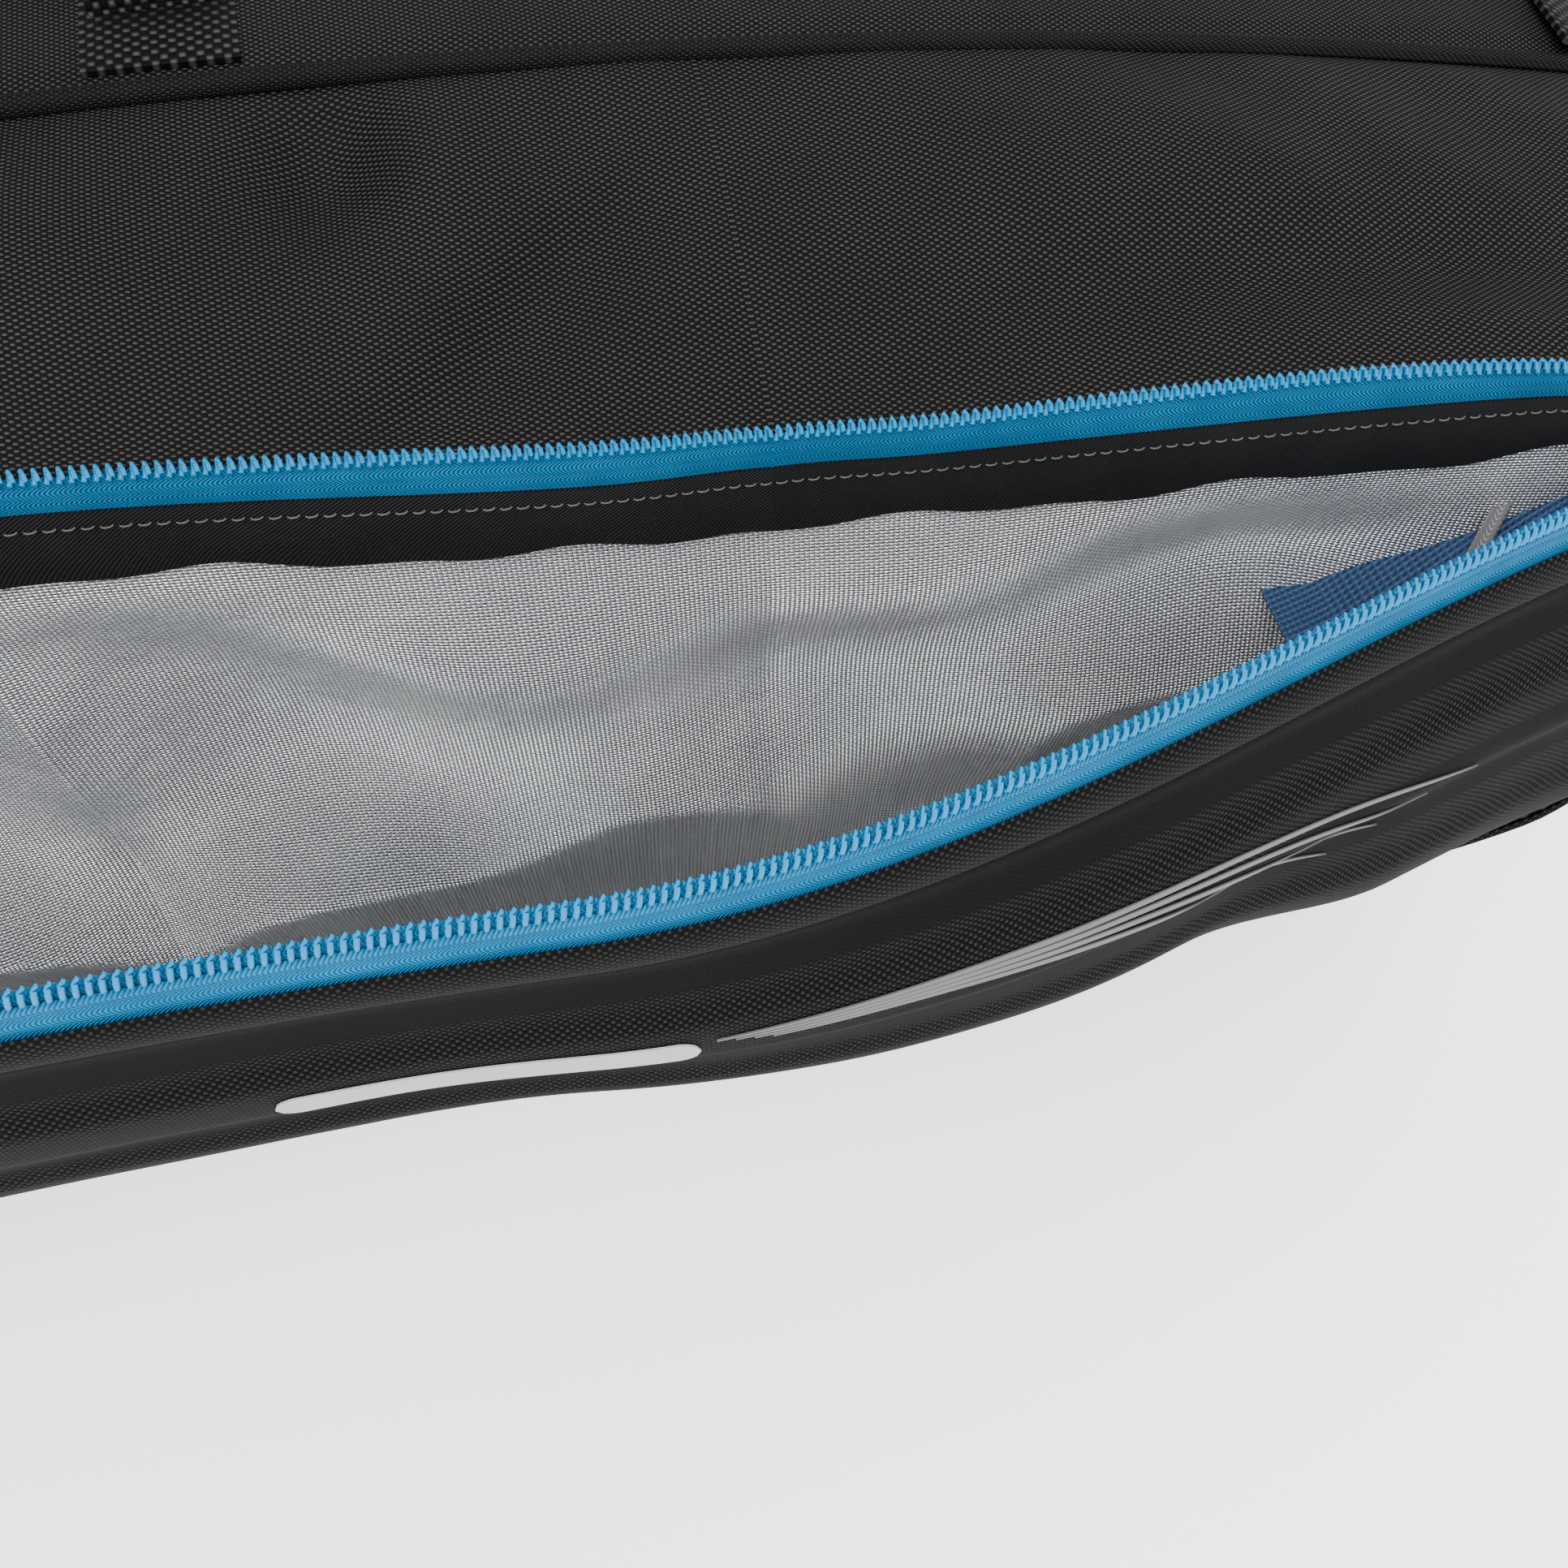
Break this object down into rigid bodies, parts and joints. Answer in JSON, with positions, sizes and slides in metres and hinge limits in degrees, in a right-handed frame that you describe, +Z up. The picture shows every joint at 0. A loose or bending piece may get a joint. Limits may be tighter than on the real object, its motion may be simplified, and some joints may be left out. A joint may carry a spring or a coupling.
{
  "type": "racket tournament bag",
  "caption": "Long three-compartment racket bag with a moulded front panel that swings open on a silver lined compartment, blue zips, carry handles and shoulder straps.",
  "frame": {"origin": "on the floor, at the bottom of the middle foot, under the middle of the bag", "axes": "+X along the bag to the end with the grab handle, -Y towards the open front compartment, +Z up"},
  "size_m": [0.8594, 0.4001, 0.4359],
  "materials": {
    "body_fabric": "black woven polyester with a coarse dotted weave",
    "board": "matte stiffening board",
    "foot_rubber": "matte",
    "zip_tape": "bright blue woven zip tape",
    "zip_coil": "bright blue nylon coil",
    "thermal_lining": "silver foil laminate with a fine embossed weave",
    "moulded_panel": "moulded foam panel with smooth ridges between woven bands",
    "hem_fabric": "rolled black woven hem",
    "binding_tape": "black seam binding, stitched",
    "webbing": "coarse black webbing",
    "pocket_mesh": "dark blue mesh",
    "elastic": "dark grey elastic ribbon",
    "strap_padding": "padded black fabric",
    "slider_metal": "blue enamel",
    "pull_metal": "satin",
    "buckle_plastic": "satin black",
    "ring_metal": "dark grey enamel"
  },
  "bodies": {
    "shell": {"base_panel": "body_fabric", "base_board": "board", "foot_front_left": "foot_rubber", "foot_front_right": "foot_rubber", "foot_rear_left": "foot_rubber", "foot_rear_right": "foot_rubber", "foot_middle": "foot_rubber", "divider_front": "body_fabric", "divider_rear": "body_fabric", "centre_gusset": "body_fabric", "centre_chain": "zip_tape", "front_gusset": "body_fabric", "front_lining": "thermal_lining", "rear_gusset": "body_fabric", "rear_panel": "moulded_panel", "rear_hem": "hem_fabric", "rear_chain": "zip_tape", "end_chain_right": "zip_tape", "end_chain_left": "zip_tape", "zip_tab_right": "webbing", "mesh_pocket": "pocket_mesh", "ribbon_upper": "elastic", "ribbon_lower": "elastic", "anchor_front_left": "webbing", "anchor_front_right": "webbing", "anchor_rear_left": "webbing", "anchor_rear_right": "webbing", "end_patch_upper": "webbing", "end_patch_lower": "webbing", "strap_pad_upper": "strap_padding", "strap_pad_lower": "strap_padding", "strap_webbing_upper": "webbing", "strap_webbing_lower": "webbing", "ring_tab_left": "webbing", "ring_tab_right": "webbing"},
    "panel": {"front_panel": "moulded_panel", "panel_lining": "thermal_lining", "front_hem": "hem_fabric", "panel_tape": "zip_tape", "panel_coil": "zip_coil"},
    "flap": {"flap_fabric": "body_fabric", "flap_binding": "binding_tape", "flap_tape": "zip_tape", "flap_coil": "zip_coil"},
    "front_slider_right": {"front_slider_right": "slider_metal"},
    "front_pull_right": {"front_pull_right": "pull_metal"},
    "front_slider_left": {"front_slider_left": "slider_metal"},
    "front_pull_left": {"front_pull_left": "pull_metal"},
    "centre_slider": {"centre_slider": "slider_metal"},
    "centre_pull": {"centre_pull": "pull_metal"},
    "rear_slider": {"rear_slider": "slider_metal"},
    "rear_pull": {"rear_pull": "pull_metal"},
    "front_handle": {"handle_front": "webbing", "handle_wrap": "strap_padding"},
    "rear_handle": {"handle_rear": "webbing"},
    "end_handle": {"end_handle": "webbing"},
    "adjuster_upper": {"adjuster_upper": "buckle_plastic"},
    "adjuster_lower": {"adjuster_lower": "buckle_plastic"},
    "ring_left": {"ring_left": "ring_metal"},
    "ring_right": {"ring_right": "ring_metal"}
  },
  "joints": [
    {"name": "front_panel_swing", "type": "hinge", "parent": "shell", "child": "panel", "pos_m": [0, -0.105, 0.03], "axis": [1, 0, 0], "range_deg": [-17, 0]},
    {"name": "gusset_flap_lift", "type": "hinge", "parent": "shell", "child": "flap", "pos_m": [0, -0.0525, 0.341], "axis": [1, 0, 0], "range_deg": [-27.5, 0]},
    {"name": "front_slider_right_slide", "type": "slide", "parent": "shell", "child": "front_slider_right", "axis": [0, 0, -1], "range_m": [0, 0.06]},
    {"name": "front_pull_right_flip", "type": "hinge", "parent": "front_slider_right", "child": "front_pull_right", "pos_m": [0.4086, -0.098, 0.216], "axis": [0, -1, 0], "range_deg": [0, 150]},
    {"name": "front_slider_left_slide", "type": "slide", "parent": "shell", "child": "front_slider_left", "axis": [0, 0, -1], "range_m": [0, 0.06]},
    {"name": "front_pull_left_flip", "type": "hinge", "parent": "front_slider_left", "child": "front_pull_left", "pos_m": [-0.4086, -0.098, 0.216], "axis": [0, 1, 0], "range_deg": [0, 150]},
    {"name": "centre_slider_travel", "type": "hinge", "parent": "shell", "child": "centre_slider", "pos_m": [0.355, 0, 0.25424], "axis": [0, 1, 0], "range_deg": [-38, 0]},
    {"name": "centre_pull_flip", "type": "hinge", "parent": "centre_slider", "child": "centre_pull", "pos_m": [0.39579, 0, 0.29013], "axis": [0, 1, 0], "range_deg": [0, 150]},
    {"name": "rear_slider_travel", "type": "hinge", "parent": "shell", "child": "rear_slider", "pos_m": [0, 0.13, -1.198], "axis": [0, 1, 0], "range_deg": [-22, 0]},
    {"name": "rear_pull_flip", "type": "hinge", "parent": "rear_slider", "child": "rear_pull", "pos_m": [0.28967, 0.13, 0.32369], "axis": [0, 1, 0], "range_deg": [0, 150]},
    {"name": "front_handle_swing", "type": "hinge", "parent": "shell", "child": "front_handle", "pos_m": [0, -0.034, 0.3456], "axis": [1, 0, 0], "range_deg": [0, 75]},
    {"name": "rear_handle_swing", "type": "hinge", "parent": "shell", "child": "rear_handle", "pos_m": [0, 0.034, 0.3456], "axis": [-1, 0, 0], "range_deg": [0, 75]},
    {"name": "end_handle_swing", "type": "hinge", "parent": "shell", "child": "end_handle", "pos_m": [0.404, 0, 0.17], "axis": [0, 0, 1], "range_deg": [-60, 60]},
    {"name": "adjuster_upper_slide", "type": "slide", "parent": "shell", "child": "adjuster_upper", "axis": [1, 0, 0], "range_m": [-0.035, 0.1]},
    {"name": "adjuster_lower_slide", "type": "slide", "parent": "shell", "child": "adjuster_lower", "axis": [1, 0, 0], "range_m": [-0.035, 0.1]},
    {"name": "ring_left_swing", "type": "hinge", "parent": "shell", "child": "ring_left", "pos_m": [-0.33, 0.15383, 0.19291], "axis": [1, 0, 0], "range_deg": [0, 70]},
    {"name": "ring_right_swing", "type": "hinge", "parent": "shell", "child": "ring_right", "pos_m": [0.33, 0.15383, 0.19291], "axis": [1, 0, 0], "range_deg": [0, 70]}
  ],
  "couplings": [
    {"joint": "gusset_flap_lift", "follows": "front_panel_swing", "ratio": 1.6176}
  ]
}
